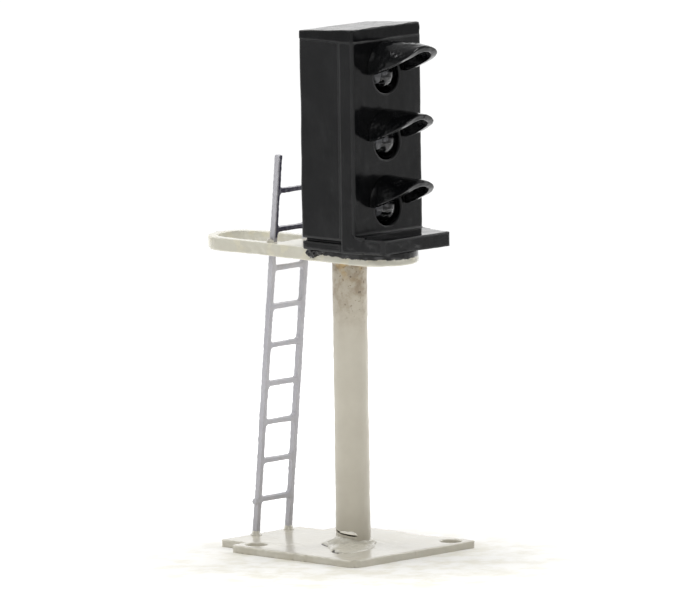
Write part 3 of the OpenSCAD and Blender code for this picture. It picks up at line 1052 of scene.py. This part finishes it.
@dataclass
class Mast:
    """The tube, its nick, the flake of bare solder over it and the ring under the platform."""

    wall: float = 0.5
    around: int = 176
    fine_mm: float = 3.0
    fine_rows: int = 110
    rows: int = 230
    nick_depth: float = 0.34
    nick_half: float = 0.085
    nick_start: float = 140.0
    nick_end: float = 237.0
    nick_high: float = 1.90
    nick_low: float = 1.50

    def nick_height(self, turns: Array) -> Array:
        """Height of the nick's middle at each angle, in degrees; it falls towards the front."""
        share = (turns - self.nick_start) / (self.nick_end - self.nick_start)
        return self.nick_high + (self.nick_low - self.nick_high) * share

    def build_tube(self) -> None:
        """The tube as one grid, with the nick pressed into its outside."""
        low, high = box_mm("mast_tube")
        outer, bore = high[0], high[0] - self.wall
        fine = np.linspace(low[2], self.fine_mm, self.fine_rows)
        coarse = np.linspace(self.fine_mm, high[2], self.rows)
        heights = np.concatenate([fine, coarse[1:]])
        profile = [(bore, low[2])] + [(outer, z) for z in heights] + [(bore, high[2])]
        profile += [(bore, z) for z in np.linspace(high[2], low[2], 12)[1:-1]]
        tube = lathe(profile, self.around, True)
        places = points_of(tube)
        radial = np.linalg.norm(places[:, :2], axis=1)
        skin = radial > outer - 0.2
        turns = np.degrees(np.arctan2(places[:, 1], places[:, 0])) % 360
        inside = (turns > self.nick_start) & (turns < self.nick_end)
        ends = np.clip(np.minimum(turns - self.nick_start, self.nick_end - turns) / 9, 0, 1)
        half = self.nick_half * np.maximum(ends, 0.25)
        off = np.abs(places[:, 2] - self.nick_height(turns)) / half
        cut = np.where(inside & skin, np.clip(1.4 - off, 0, 1), 0.0)
        wave = 0.010 * ripple(places, 4.0, 37) + 0.006 * ripple(places, 0.8, 41) - 0.016
        shrink = np.where(skin, wave, 0.0) - self.nick_depth * cut
        places[:, :2] *= ((radial + shrink) / radial)[:, None]
        places[:, :2] = np.clip(places[:, :2], -outer, outer)
        move_points(tube, places)
        # painted shade: the nick is darkened by the depth of its cut
        store(tube, "recess_shade", cut)
        mark_edges(tube)
        show(tube, "mast_tube_painted", MAST_GREY, "mast_tube")

    def build_flake(self) -> None:
        """A torn lip of pale solder along the upper side of the nick, painted bright for its
        reflection.
        """
        outer = box_mm("mast_tube")[1][0]
        along, across = 40, 8
        turns = np.linspace(self.nick_start + 34, self.nick_end - 1, along)
        share = np.linspace(0, 1, along)
        tall = 0.46 * np.sin(math.pi * np.clip(share, 0.02, 0.985)) ** 0.5 * (0.4 + 0.6 * share)
        tall *= 1 + 0.18 * ripple(np.column_stack([turns / 20, 0 * turns, 0 * turns]), 1.1, 43)
        start = self.nick_height(turns) + 0.07
        rows = []
        for k in range(across):
            rise = k / (across - 1)
            lift = 0.02 + 0.10 * math.sin(math.pi * min(rise + 0.12, 1))
            radius = outer + lift * np.clip(share + 0.3, 0, 1)
            way = np.radians(turns)
            height = start + tall * rise
            rows.append(np.column_stack([radius * np.cos(way), radius * np.sin(way), height]))
        front = np.vstack(rows)
        back = front.copy()
        back[:, :2] *= (outer - SINK) / np.linalg.norm(back[:, :2], axis=1)[:, None]
        sheet = build(np.vstack([front, back]), self._slab_faces(across, along))
        flake = repaired(sheet, 0.0005)
        mark_edges(flake)
        show(flake, "mast_foot_flake", BARE_SOLDER_SHEEN)

    @staticmethod
    def _slab_faces(rows: int, columns: int) -> list[tuple[int, ...]]:
        """Faces of a slab: its front grid, its back grid and the rim between them."""
        faces = grid_faces(rows, columns)
        shift = rows * columns
        faces += [tuple(shift + i for i in reversed(f)) for f in grid_faces(rows, columns)]
        rim = [j for j in range(columns)]
        rim += [i * columns + columns - 1 for i in range(1, rows)]
        rim += [(rows - 1) * columns + j for j in range(columns - 2, -1, -1)]
        rim += [i * columns for i in range(rows - 2, 0, -1)]
        for a, b in zip(rim, rim[1:] + rim[:1]):
            faces.append((b, a, shift + a, shift + b))
        return faces

    def build_top_ring(self) -> None:
        """The uneven ring of solder under the platform, wider on its left."""
        low, high = box_mm("mast_top_solder")
        mast_r, top = box_mm("mast_tube")[1][0], high[2]
        steps = np.linspace(0, 1, 10)
        foot = low[2] + BELOW
        curve = [(mast_r - SINK, foot)]
        curve += [
            (mast_r + 0.5 * (1 - math.cos(s * QUARTER)), foot + 0.45 * math.sin(s * QUARTER))
            for s in steps
        ]
        curve += [(mast_r + 0.5, top + 0.02), (mast_r - SINK, top + 0.02)]
        ring = lathe(curve, 120, True)
        places = points_of(ring)
        radial = np.linalg.norm(places[:, :2], axis=1)
        left = np.clip(-places[:, 0] / radial, 0, 1)
        swell = (radial - mast_r).clip(0) * (0.45 * left - 0.1 + 0.16 * ripple(places, 1.4, 47))
        places[:, :2] *= ((radial + swell) / radial)[:, None]
        move_points(ring, places)
        mark_edges(ring)
        show(ring, "mast_top_solder_painted", MAST_GREY, "mast_top_solder")


@dataclass
class Platform:
    """The platform with its hoop, coated thick and uneven, and the beads that hold the ladder."""

    coat: PaintCoat = PaintCoat(0.085, 4, 0.022, 3.2, 0.014, 0.7, 53)

    def build_deck(self) -> None:
        """The deck and hoop."""
        coated = self.coat.lay(cad_copy("platform"), *box_mm("platform"))
        show(coated, "platform_painted", DECK_GREY, "platform")

    def build_beads(self) -> None:
        """The solder beads on the rim, one against each stile."""
        low, high = box_mm("ladder_deck_solder")
        deck = low[2]
        beads = []
        for side in (-1, 1):
            middle = Vector((side * (abs(high[0]) - 0.22), (low[1] + high[1]) / 2, deck - 0.02))
            beads.append(bead(middle, 0.36, 59 + side))
        show(joined(beads), "ladder_deck_beads", SOLDER_GREY, "ladder_deck_solder")


@dataclass
class Ladder:
    """The one-piece ladder. Its rungs repeat by rule, so a node tree sets them out."""

    rungs: int = 9
    pitch: float = 3.62
    first: float = 3.35
    top: float = 3.35
    stile_gap: float = 4.28
    stile_w: float = 0.48
    thick: float = 0.56
    rung_h: float = 0.44
    flare: float = 0.30
    lean_deg: float = 5.77
    coat: PaintCoat = PaintCoat(0.055, 4, 0.010, 2.5, 0.006, 0.5, 61)

    def tree(self) -> bpy.types.GeometryNodeTree:
        """The node tree that makes stiles and rungs in the ladder's own plane.

        Returns:
            The tree; its inputs are named for the sizes.
        """
        tree = bpy.data.node_groups.new("ladder_setting_out", "GeometryNodeTree")
        face = tree.interface
        face.new_socket(name="Geometry", in_out="OUTPUT", socket_type="NodeSocketGeometry")
        face.new_socket(name="Rungs", in_out="INPUT", socket_type="NodeSocketInt")
        for name in (
            "Pitch", "First Rung", "Length", "Stile Gap", "Stile Width", "Thickness",
            "Rung Height", "Flare",
        ):
            face.new_socket(name=name, in_out="INPUT", socket_type="NodeSocketFloat")
        face.new_socket(name="Finish", in_out="INPUT", socket_type="NodeSocketMaterial")
        graph = Graph(tree)
        first = graph.node("NodeGroupInput", out=0)
        given = {s.name: Wire(graph, s) for s in first.socket.node.outputs if s.name}

        def vector(x: Level, y: Level, z: Level) -> Wire:
            """A vector from three values."""
            return graph.node("ShaderNodeCombineXYZ", None, {0: x, 1: y, 2: z})

        width = given["Stile Gap"] - 0.5 * given["Stile Width"]
        bar = graph.node("GeometryNodeMeshCube", None, {
            "Size": vector(width, given["Rung Height"], given["Thickness"] * 0.86),
            "Vertices X": 41, "Vertices Y": 3, "Vertices Z": 3,
        })
        x, y, z = graph.split(graph.node("GeometryNodeInputPosition"))
        inner = 0.5 * given["Stile Gap"] - 0.5 * given["Stile Width"]
        near = (x.magnitude() - inner + given["Flare"]) / given["Flare"]
        near = near.at_least(0.0).at_most(1.0)
        grown = y * (1 + near * near * given["Flare"] * 2.0 / given["Rung Height"])
        moved = {"Geometry": bar, "Position": vector(x, grown, z)}
        flared = graph.node("GeometryNodeSetPosition", None, moved)
        line = graph.node("GeometryNodeMeshLine", {"mode": "OFFSET", "count_mode": "TOTAL"}, {
            "Count": given["Rungs"],
            "Start Location": vector(0.0, given["First Rung"], 0.0),
            "Offset": vector(0.0, given["Pitch"], 0.0),
        })
        on_line = {"Points": line, "Instance": flared}
        rungs = graph.node("GeometryNodeInstanceOnPoints", None, on_line)
        stile = graph.node("GeometryNodeMeshCube", None, {
            "Size": vector(given["Stile Width"], given["Length"] + 0.6, given["Thickness"]),
            "Vertices X": 3, "Vertices Y": 80, "Vertices Z": 3,
        })
        pair = graph.node("GeometryNodeMeshLine", {"mode": "OFFSET", "count_mode": "TOTAL"}, {
            "Count": 2,
            "Start Location": vector(-0.5 * given["Stile Gap"], 0.5 * given["Length"] - 0.3, 0.0),
            "Offset": vector(given["Stile Gap"], 0.0, 0.0),
        })
        on_pair = {"Points": pair, "Instance": stile}
        stiles = graph.node("GeometryNodeInstanceOnPoints", None, on_pair)
        both = graph.node("GeometryNodeJoinGeometry")
        join_node = both.socket.node
        tree.links.new(rungs.socket, join_node.inputs[0])
        tree.links.new(stiles.socket, join_node.inputs[0])
        real = graph.node("GeometryNodeRealizeInstances", None, {"Geometry": both})
        painted = {"Geometry": real, "Material": given["Finish"]}
        done = graph.node("GeometryNodeSetMaterial", None, painted)
        graph.node("NodeGroupOutput", None, {"Geometry": done})
        return tree

    def set_out(self) -> bpy.types.Mesh:
        """Runs the tree with this ladder's sizes and gives the plain mesh."""
        tree = self.tree()
        holder = put("setting_out", bpy.data.meshes.new("empty"))
        modifier = holder.modifiers.new("ladder", "NODES")
        modifier.node_group = tree
        sizes = {
            "Rungs": self.rungs, "Pitch": self.pitch, "First Rung": self.first,
            "Length": self.length, "Stile Gap": self.stile_gap, "Stile Width": self.stile_w,
            "Thickness": self.thick, "Rung Height": self.rung_h, "Flare": self.flare,
            "Finish": LADDER_GREY.material(),
        }
        for item in tree.interface.items_tree:
            if item.item_type == "SOCKET" and item.in_out == "INPUT":
                modifier[item.identifier] = sizes[item.name]
        return settled(holder)

    @property
    def length(self) -> float:
        """Length of a stile from the base to its top."""
        return self.first + (self.rungs - 1) * self.pitch + self.top

    def build(self) -> None:
        """Sets the ladder out, leans it into place, adds the gate stub and coats it."""
        low, high = box_mm("ladder")
        flat = self.set_out()
        profile = [(AXIS_R, -0.36), (0.24, -0.34), (0.32, 0.0), (0.24, 0.34), (AXIS_R, 0.38)]
        stub = lathe(profile, 20, False)
        beside = Matrix.Translation((-self.stile_gap / 2 - 0.22, self.first - 0.15, 0))
        stub.transform(beside @ Matrix.Rotation(QUARTER, 4, "Y"))
        flat = joined([flat, stub])
        foot_y = high[1] - self.thick / 2
        lean = Matrix.Rotation(math.radians(90 + self.lean_deg), 4, "X")
        flat.transform(Matrix.Translation((0, foot_y, low[2])) @ lean)
        coated = self.coat.lay(flat, low, high)
        store(coated, "front", -normals_of(coated)[:, 1])
        show(coated, "ladder_painted", LADDER_GREY, "ladder")

    def build_feet(self) -> None:
        """The solder round each foot."""
        low, high = box_mm("ladder_foot_solder")
        feet = []
        for side in (-1, 1):
            base = high[2] - low[2]
            slope = [(0.54, -BELOW), (0.52, 0.04), (0.42, 0.12), (0.36, 0.24), (0.32, base)]
            foot = lathe([(AXIS_R, -BELOW), *slope, (AXIS_R, base)], 44, False)
            places = points_of(foot)
            places[:, :2] *= (1 + 0.10 * ripple(places, 0.9, 67 + side))[:, None]
            places += np.array([side * self.stile_gap / 2, (low[1] + high[1]) / 2, low[2]])
            move_points(foot, places)
            feet.append(foot)
        show(joined(feet), "ladder_feet_solder", SOLDER_GREY, "ladder_foot_solder")


@dataclass
class LampBox:
    """The black box: cover with ledge, casing, roof cap and floor, each under its own coat."""

    coat: PaintCoat = PaintCoat(0.09, 4, 0.012, 5.0, 0.004, 0.9, 71)
    build_up: float = 0.07
    thick_coat: PaintCoat = PaintCoat(0.075, 7, 0.012, 2.6, 0.003, 0.9, 73)
    nose_r: float = 0.35
    cap_r: float = 0.22
    tuck_mm: float = 0.2
    ledge_mm: float = 2.5

    def thicken(self, places: Array, half: float) -> Array:
        """How far the paint stands out sideways at each place, by the box's half width."""
        near = np.clip((np.abs(places[:, 0]) - half + 0.4) / 0.2, 0, 1)
        return np.sign(places[:, 0]) * self.build_up * near

    def build_box(self) -> None:
        """Cover and casing."""
        low, high = box_mm("rear_casing")
        seam = low[1]

        def tuck(places: Array, _: Array) -> Array:
            """Carries the casing's front edges under the cover, so that paint closes the seam."""
            moves = np.zeros_like(places)
            moves[:, 1] = -self.tuck_mm * np.clip((seam + 0.3 - places[:, 1]) / 0.3, 0, 1)
            moves[:, 0] = self.thicken(places, high[0])
            return moves

        room = np.array([self.build_up, self.tuck_mm, 0])
        beside = room * np.array([1, 0, 0])
        casing = self.coat.lay(cad_copy("rear_casing"), low - room, high + beside, tuck)
        show(casing, "rear_casing_painted", BLACK, "rear_casing")
        low, high = box_mm("front_cover")

        def nose(places: Array, _: Array) -> Array:
            """Rounds the ledge's nose, whose top lies at its own height."""
            top = places[places[:, 1] < low[1] + 0.2][:, 2].max()
            ledge = (places[:, 1] < low[1] + self.ledge_mm)[:, None]
            thick = np.zeros_like(places)
            thick[:, 0] = self.thicken(places, high[0]) * (places[:, 1] > low[1] + self.ledge_mm)
            moved = places
            for side, x in ((-1, low[0]), (1, high[0])):
                moved = eased(moved, (x, low[1], 0), (side, -1, 0), self.nose_r)
                crowned = eased(moved, (x, 0, top), (side, 0, 1), self.nose_r / 2)
                moved = np.where(ledge, crowned, moved)
            moved = eased(moved, (0, low[1], top), (0, -1, 1), self.nose_r / 2)
            return np.where(ledge, moved, places) - places + thick

        room = np.array([self.build_up, 0, 0])
        cover = self.coat.lay(cad_copy("front_cover"), low - room, high + room, nose)
        show(cover, "front_cover_painted", BLACK, "front_cover")

    def build_roof(self) -> None:
        """The cap, flush with the cover's face, with an uneven front edge and a chipped corner."""
        low, high = box_mm("roof_cap")
        cover_face = box_mm("hood_upper")[1][1]

        def lumps(places: Array, normals: Array) -> Array:
            """Makes the front edge uneven, dents its corner and brings the front to the face."""
            upper = np.clip((places[:, 2] - high[2] + 0.4) / 0.4, 0, 1)
            front = np.exp(-((places[:, 1] - low[1]) / 0.4) ** 2) * upper
            rough = 0.02 * ripple(places, 1.7, 79) + 0.006 * ripple(places, 0.6, 83)
            corner = np.exp(-((places - np.array([high[0], low[1], high[2]])) ** 2).sum(1) / 0.3**2)
            moves = normals * (front * rough - 0.08 * corner)[:, None]
            face = cover_face - 0.03
            lower = np.clip((high[2] - 0.25 - places[:, 2]) / 0.5, 0, 1)
            moves[:, 1] += np.clip(face - places[:, 1], 0, 1) * lower
            moves[:, 2] -= 0.14 * np.clip((low[2] + 0.35 - places[:, 2]) / 0.35, 0, 1)
            moved = places + moves
            for outward in ((1, 0, 1), (-1, 0, 1), (0, -1, 1), (1, -1, 0)):
                moved = eased(moved, (outward[0] * high[0], face, high[2]), outward, self.cap_r)
            return moved - places

        room = low - np.array([0, 0, 0.15])
        cap = self.thick_coat.lay(cad_copy("roof_cap"), room, high, lumps)
        places, normals = points_of(cap), normals_of(cap)
        knock = np.array([high[0] - 0.05, cover_face, low[2] + 0.15])
        store(cap, "chip", np.exp(-(((places - knock) / np.array([0.16, 0.3, 0.3])) ** 2).sum(1)))
        store(cap, "up", normals[:, 2])
        show(cap, "roof_cap_painted", ROOF_BLACK, "roof_cap")

    def build_floor(self) -> None:
        """The floor plate."""
        coated = self.thick_coat.lay(cad_copy("head_floor"), *box_mm("head_floor"))
        show(coated, "head_floor_painted", BLACK, "head_floor")

    def build_glue(self) -> None:
        """The row of lumps in the corner under the box."""
        low, high = box_mm("head_glue_bead")
        beads = []
        for share, radius in ((0.88, 0.52), (0.62, 0.44), (0.4, 0.36), (0.2, 0.28), (0.02, 0.22)):
            y = low[1] + share * (high[1] - low[1])
            middle = Vector((high[0] - 0.04, y, high[2] - radius * 0.72))
            beads.append(bead(middle, radius, 89 + int(100 * share)))
        room_low = np.array([low[0] - 0.2, low[1] - 0.4, low[2] - 0.3])
        room_high = np.array([high[0] + 0.4, high[1] + 0.2, high[2] + 0.05])
        coat = PaintCoat(0.05, 2, 0.012, 0.8, 0.02, 0.3, 97)
        coated = coat.lay(joined(beads), room_low, room_high)
        show(coated, "head_glue_lumps", BLACK_LUMPY, "head_glue_bead")


@dataclass
class Hood:
    """A peaked shade over one lamp, made from the rule of its arch and its slanting cut."""

    lamp: Lamp
    rise: float = 0.45
    wall: float = 0.58
    low: float = 0.25
    root: float = 0.45
    droop: float = 0.0
    lift: float = 0.0
    trim: float = 0.0
    fillet: float = 0.09
    across: int = 61
    along: int = 31
    coat: PaintCoat = PaintCoat(0.05, 28, 0.010, 1.6, 0.005, 0.5, 101)

    def section(self, radius: float) -> tuple[Array, Array]:
        """The arch as X and height above the lamp's centre, from left foot to right foot."""
        legs = 6
        turns = np.linspace(math.pi, 0, self.across - 2 * legs)
        x = np.concatenate([np.full(legs, -radius), radius * np.cos(turns), np.full(legs, radius)])
        leg = np.linspace(self.low, self.rise, legs, endpoint=False)
        z = np.concatenate([leg, self.rise + radius * np.sin(turns), leg[::-1]])
        return x, z

    def build(self) -> None:
        """Makes the shade as outer and inner skins joined at rim and root, then coats it."""
        node = f"hood_{self.lamp.value}"
        low, high = box_mm(node)
        radius = (high[0] - low[0]) / 2
        face, length = high[1], high[1] - low[1]
        brow = self.rise + radius
        centre = high[2] - brow
        shells = []
        for r, flare in ((radius, self.fillet), (radius - self.wall, 0.0)):
            x, z = self.section(r)
            share = np.clip((z - self.low) / (brow - self.low - self.wall * 0.5), 0, 1)
            reach = self.root + (length - self.trim - self.root) * (1 - (1 - share) ** 1.8)
            rows = []
            for k in range(self.along):
                deep = reach * (k / (self.along - 1)) ** 1.4
                far = np.clip(deep / length, 0, 1)
                fall = (self.droop * far**2 - self.lift * np.sin(math.pi * far)) * share
                grow = 1 + flare / radius * np.exp(-deep / 0.3)
                height = centre + self.rise + (z - self.rise) * grow - fall
                rows.append(np.column_stack([x * grow, face - deep, height]))
            shells.append(np.array(rows))
        loops = np.concatenate([shells[0], shells[1][::-1]])
        count, columns = loops.shape[0], loops.shape[1]
        faces = grid_faces(count, columns, True, False)
        for column, turned in ((0, False), (columns - 1, True)):
            order = [i * columns + column for i in range(count)]
            for k in range(self.along - 1):
                quad = (order[k], order[k + 1], order[count - 2 - k], order[count - 1 - k])
                faces.append(quad[::-1] if turned else quad)
        mesh = repaired(build(loops.reshape(-1, 3), faces), 0.0005)
        room = np.array([self.fillet, 0, 0.35])
        show(self.coat.lay(mesh, low - room, high + room), f"{node}_painted", HOOD_BLACK, node)


@dataclass
class LampSet:
    """The three lamps: clear bodies with a cup and post cast inside, their leads and the wire."""

    cup_r: float = 0.62
    post_half: float = 0.24

    def build_body(self, lamp: Lamp) -> None:
        """The clear body as one turned shell."""
        node = f"led_{lamp.value}"
        low, high = box_mm(node)
        flange, body = (high[0] - low[0]) / 2, 1.5
        depth = high[1] - low[1]
        steps = np.linspace(0, QUARTER, 20)
        rim = [(flange - 0.06, 0.0), (flange, 0.06), (flange, 0.94), (flange - 0.06, 1.0)]
        dome = [(body * math.cos(s), depth - body + body * math.sin(s)) for s in steps[:-1]]
        profile = [(AXIS_R, 0.0), *rim, (body + 0.02, 1.0), *dome, (AXIS_R, depth)]
        shell = lathe(profile, 72, False)
        centre = (low + high) / 2
        shell.transform(forwards((centre[0], high[1], centre[2])))
        show(repaired(shell), f"{node}_clear", LENS, node)

    def build_cup(self, lamp: Lamp) -> None:
        """The reflector cup and the post beside it, inside the resin."""
        low, high = box_mm(f"led_{lamp.value}")
        centre = (low + high) / 2
        deep = high[1] - 0.25
        front = low[1] + 1.35
        cup_x, post_x = centre[0] - 0.35, centre[0] + 0.75
        cup = lathe([
            (AXIS_R, 0.0), (self.cup_r * 0.7, 0.0), (self.cup_r, 0.55), (self.cup_r * 0.92, 0.6),
            (self.cup_r * 0.45, 0.3), (AXIS_R, 0.28),
        ], 40, False)
        cup.transform(forwards((cup_x, front + 0.6, centre[2])))
        post = rod(self.post_half, deep - front - 0.2)
        post.transform(forwards((post_x, deep, centre[2])))
        stem = rod(self.post_half, deep - front - 0.5)
        stem.transform(forwards((cup_x, deep, centre[2])))
        show(joined([cup, post, stem]), f"led_cup_{lamp.value}", CUP_METAL)

    def build(self) -> None:
        """All three lamps, then the leads and the wire that keep their CAD shape."""
        for lamp in Lamp:
            self.build_body(lamp)
            self.build_cup(lamp)
            dress(f"led_leads_{lamp.value}", TINNED)
        dress("common_wire", TINNED)


# ---------------------------------------------------------------------- studio


@dataclass
class Softbox:
    """A square light that faces the signal."""

    name: str
    place: tuple[float, float, float]
    width: float
    height: float
    power: float
    aim: tuple[float, float, float] = (0.0, 0.0, 0.024)

    def hang(self) -> None:
        """Puts the light up."""
        lamp = bpy.data.lights.new(self.name, "AREA")
        lamp.shape = "RECTANGLE"
        lamp.size, lamp.size_y, lamp.energy = self.width, self.height, self.power
        holder = put(self.name, lamp)
        holder.location = self.place
        holder.rotation_mode = "QUATERNION"
        way = Vector(self.aim) - Vector(self.place)
        holder.rotation_quaternion = way.to_track_quat("-Z", "Y")


@dataclass
class Studio:
    """Paper, lights, surroundings and the camera."""

    azimuth: float = -46.29
    elevation: float = 7.65
    roll: float = 0.797
    distance: float = 1.3
    focal: float = 731.5
    sensor: float = 36.0
    aim_share: float = 0.4749
    glow: float = 0.48
    glow_behind: float = 1.35
    floor_r: float = 0.16
    background: float = 1.05

    @staticmethod
    def towards(azimuth: float, elevation: float) -> Vector:
        """The direction of a place that is seen at these angles, in degrees."""
        a, e = math.radians(azimuth), math.radians(elevation)
        return Vector((math.sin(a) * math.cos(e), -math.cos(a) * math.cos(e), math.sin(e)))

    def build_floor(self) -> None:
        """A round sheet of paper under the base."""
        turns = np.linspace(0, 2 * math.pi, 128, endpoint=False)
        edge = self.floor_r * np.column_stack([np.cos(turns), np.sin(turns), 0 * turns])
        sheet = build(edge, [range(len(edge))])
        sheet.materials.append(PAPER.material())
        floor = put("floor", sheet)

    def build_surroundings(self) -> None:
        """White to look at; as a light it is bright behind the signal and dim elsewhere."""
        world = bpy.data.worlds.new("surroundings")
        bpy.context.scene.world = world
        world.use_nodes = True
        world.node_tree.nodes.clear()
        graph = Graph(world.node_tree)
        seen = graph.node("ShaderNodeLightPath", out="Is Camera Ray")
        way = graph.node("ShaderNodeTexCoord", out="Generated")
        a = math.radians(self.azimuth)
        behind = graph.along(way, (-math.sin(a), math.cos(a), 0.0)).ramp(0.0, 0.85)
        high = graph.along(way, (0.0, 0.0, 1.0))
        level = self.glow + (self.glow_behind - self.glow) * behind
        level = level * (1 - 0.75 * high.ramp(0.3, 0.5))
        light = level.at_least(0.1)
        strength = light + (self.background - light) * seen
        sky = graph.node("ShaderNodeBackground", None, {"Color": WHITE, "Strength": strength})
        graph.node("ShaderNodeOutputWorld", None, {"Surface": sky})

    def build_lights(self) -> None:
        """One light in front and above the camera, one overhead and one at each side."""
        front = self.towards(self.azimuth - 12, 42) * 0.5
        Softbox("front", tuple(front), 0.26, 0.2, 0.7).hang()
        Softbox("overhead", (0.0, 0.06, 0.5), 0.26, 0.26, 1.1).hang()
        for name, turn, power in (("left", 55, 0.6), ("right", -55, 0.95)):
            way = math.radians(90 + self.azimuth + turn)
            place = Vector((math.cos(way), math.sin(way), 0.68)) * 0.42
            Softbox(name, tuple(place), 0.22, 0.22, power).hang()

    def build_camera(self) -> None:
        """A long lens, level with the mast, turned a little about its own axis."""
        height = CAD_HIGH.z - CAD_LOW.z
        back = self.towards(self.azimuth, self.elevation)
        aim = Vector((0, 0, self.aim_share * height))
        lens = bpy.data.cameras.new("camera")
        lens.lens, lens.sensor_width = self.focal, self.sensor
        lens.clip_start, lens.clip_end = 0.05, 50
        camera = put("camera", lens)
        camera.rotation_mode = "QUATERNION"
        camera.location = aim + back * self.distance
        twist = Quaternion((0, 0, 1), math.radians(-self.roll))
        camera.rotation_quaternion = (-back).to_track_quat("-Z", "Y") @ twist
        bpy.context.scene.camera = camera

    def build(self) -> None:
        """Sets the studio up."""
        bpy.context.scene.view_settings.view_transform = "Standard"
        self.build_camera()
        self.build_surroundings()
        self.build_lights()
        self.build_floor()


def main() -> None:
    """Builds the studio and every sub-assembly in order."""
    logging.basicConfig(level=logging.INFO, format="%(name)s: %(message)s")
    Studio().build()
    base = Base()
    base.build_plate()
    base.build_puddle()
    mast = Mast()
    mast.build_tube()
    mast.build_flake()
    mast.build_top_ring()
    deck = Platform()
    deck.build_deck()
    deck.build_beads()
    ladder = Ladder()
    ladder.build()
    ladder.build_feet()
    box = LampBox()
    box.build_box()
    box.build_roof()
    box.build_floor()
    box.build_glue()
    Hood(Lamp.UPPER, rise=0.65, lift=0.1, droop=0.1).build()
    Hood(Lamp.MIDDLE, lift=0.05, droop=0.12, trim=0.12).build()
    Hood(Lamp.LOWER, droop=0.15, trim=0.3).build()
    LampSet().build()


if __name__ == "__main__":
    main()
